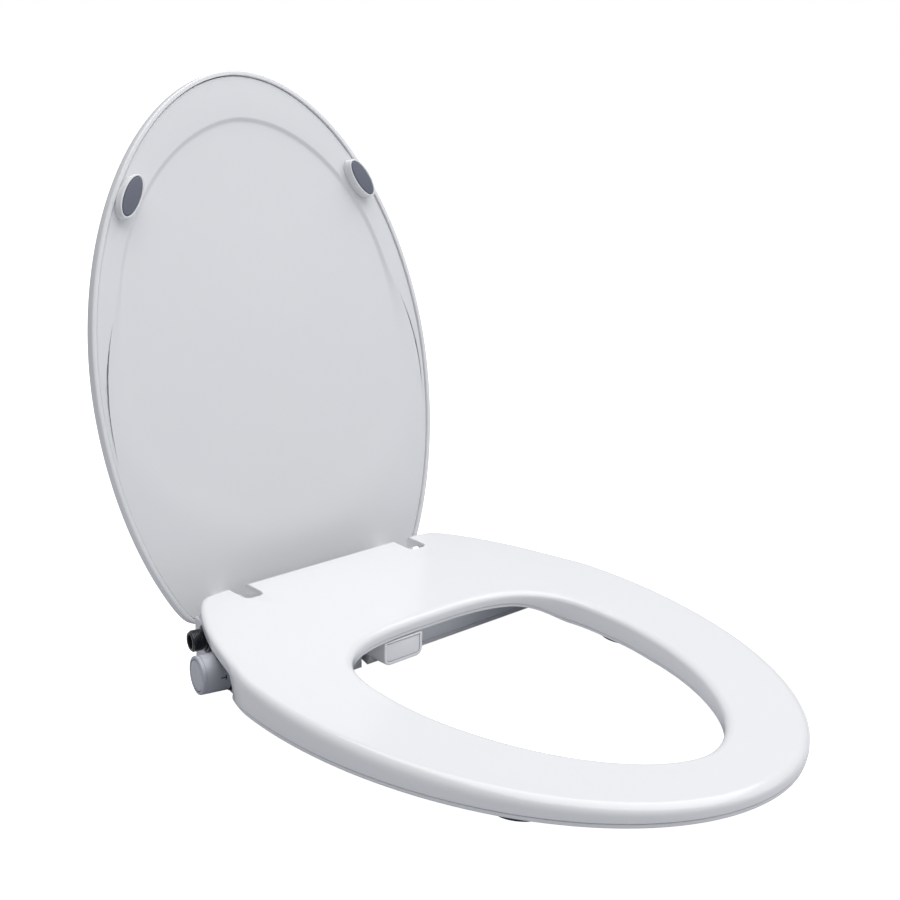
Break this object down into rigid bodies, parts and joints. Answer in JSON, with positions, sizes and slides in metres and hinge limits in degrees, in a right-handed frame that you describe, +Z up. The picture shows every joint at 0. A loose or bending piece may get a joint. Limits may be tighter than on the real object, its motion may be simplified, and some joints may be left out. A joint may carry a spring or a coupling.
{
  "type": "water-pressure bidet seat",
  "caption": "Elongated bidet toilet seat with raised lid, hinged ring seat, side knob, threaded water inlet and retracting spray wands.",
  "frame": {"origin": "midway between the mounting points, on the underside of the mounting plate that lies on the toilet bowl, below the hinge axis", "axes": "+X to the right seen from the front, +Y back towards the hinge side, +Z up; lid stored raised, seat stored down"},
  "size_m": [0.3718, 0.5886, 0.4477],
  "materials": {
    "gloss_white": "glossy cool white moulded plastic",
    "underside_white": "white moulded plastic, slightly softer gloss",
    "base_white": "satin off-white moulded plastic",
    "satin_grey": "satin cool grey plastic",
    "cap_grey": "fine satin grey cap",
    "grey_rubber": "matt grey rubber",
    "gloss_black": "glossy near-black plastic",
    "stainless": "fine brushed stainless steel",
    "hose_plastic": "milky hose plastic"
  },
  "bodies": {
    "base": {"adjuster_bush_left": "stainless", "adjuster_bush_right": "stainless", "base_floor_plate": "base_white", "base_lower_housing": "base_white", "base_pad_left": "grey_rubber", "base_pad_right": "grey_rubber", "base_side_panel_left": "base_white", "base_side_panel_right": "base_white", "base_upper_cover": "base_white", "front_hose": "hose_plastic", "hinge_block_inner_left": "base_white", "hinge_block_inner_right": "base_white", "hinge_block_outer_left": "base_white", "hinge_block_outer_right": "base_white", "hinge_pin_left": "stainless", "hinge_pin_right": "stainless", "inlet_collar": "gloss_black", "inlet_elbow_seat": "base_white", "inlet_filter": "stainless", "inlet_spigot": "gloss_black", "knob_collar": "gloss_black", "mounting_plate": "base_white", "nozzle_guard": "gloss_white", "nozzle_holder": "underside_white", "rear_hose": "hose_plastic", "soft_close_damper_left": "gloss_black", "soft_close_damper_right": "gloss_black", "valve_body": "base_white"},
    "seat": {"seat_bottom_shell": "underside_white", "seat_bumper_front_left": "grey_rubber", "seat_bumper_front_right": "grey_rubber", "seat_bumper_rear_left": "grey_rubber", "seat_bumper_rear_right": "grey_rubber", "seat_hinge_arm_left": "underside_white", "seat_hinge_arm_right": "underside_white", "seat_top_shell": "gloss_white"},
    "lid": {"lid_bumper_cup_left": "gloss_white", "lid_bumper_cup_right": "gloss_white", "lid_bumper_pad_left": "grey_rubber", "lid_bumper_pad_right": "grey_rubber", "lid_hinge_arm_left": "gloss_white", "lid_hinge_arm_right": "gloss_white", "lid_inner_panel": "underside_white", "lid_outer_shell": "gloss_white"},
    "knob": {"knob": "satin_grey", "knob_cap": "cap_grey", "valve_stem": "base_white"},
    "gate": {"nozzle_gate": "underside_white"},
    "rear_wand": {"rear_nozzle": "underside_white", "rear_nozzle_tip": "gloss_white"},
    "front_wand": {"front_nozzle": "underside_white", "front_nozzle_tip": "gloss_white"},
    "release": {"release_button": "satin_grey"}
  },
  "joints": [
    {"name": "lid_hinge", "type": "hinge", "parent": "base", "child": "lid", "pos_m": [0, 0, 0.028], "axis": [1, 0, 0], "range_deg": [0, 105]},
    {"name": "seat_hinge", "type": "hinge", "parent": "base", "child": "seat", "pos_m": [0, 0, 0.028], "axis": [1, 0, 0], "range_deg": [-95, 0]},
    {"name": "knob_turn", "type": "hinge", "parent": "base", "child": "knob", "pos_m": [-0.14875, -0.0675, 0.0203], "axis": [-0.9738, 0.2272, 0], "range_deg": [-90, 90]},
    {"name": "gate_flap", "type": "hinge", "parent": "base", "child": "gate", "pos_m": [-0.026, -0.1243, 0.0276], "axis": [-1, 0, 0], "range_deg": [0, 60]},
    {"name": "rear_wand_slide", "type": "slide", "parent": "base", "child": "rear_wand", "axis": [0, -0.9511, -0.309], "range_m": [0, 0.045], "stiffness_N_per_m": 30, "springref_m": -0.01},
    {"name": "front_wand_slide", "type": "slide", "parent": "base", "child": "front_wand", "axis": [0, -0.9511, -0.309], "range_m": [0, 0.045], "stiffness_N_per_m": 30, "springref_m": -0.01},
    {"name": "release_press", "type": "slide", "parent": "base", "child": "release", "axis": [-1, 0, 0], "range_m": [0, 0.003], "stiffness_N_per_m": 400, "springref_m": -0.002}
  ]
}
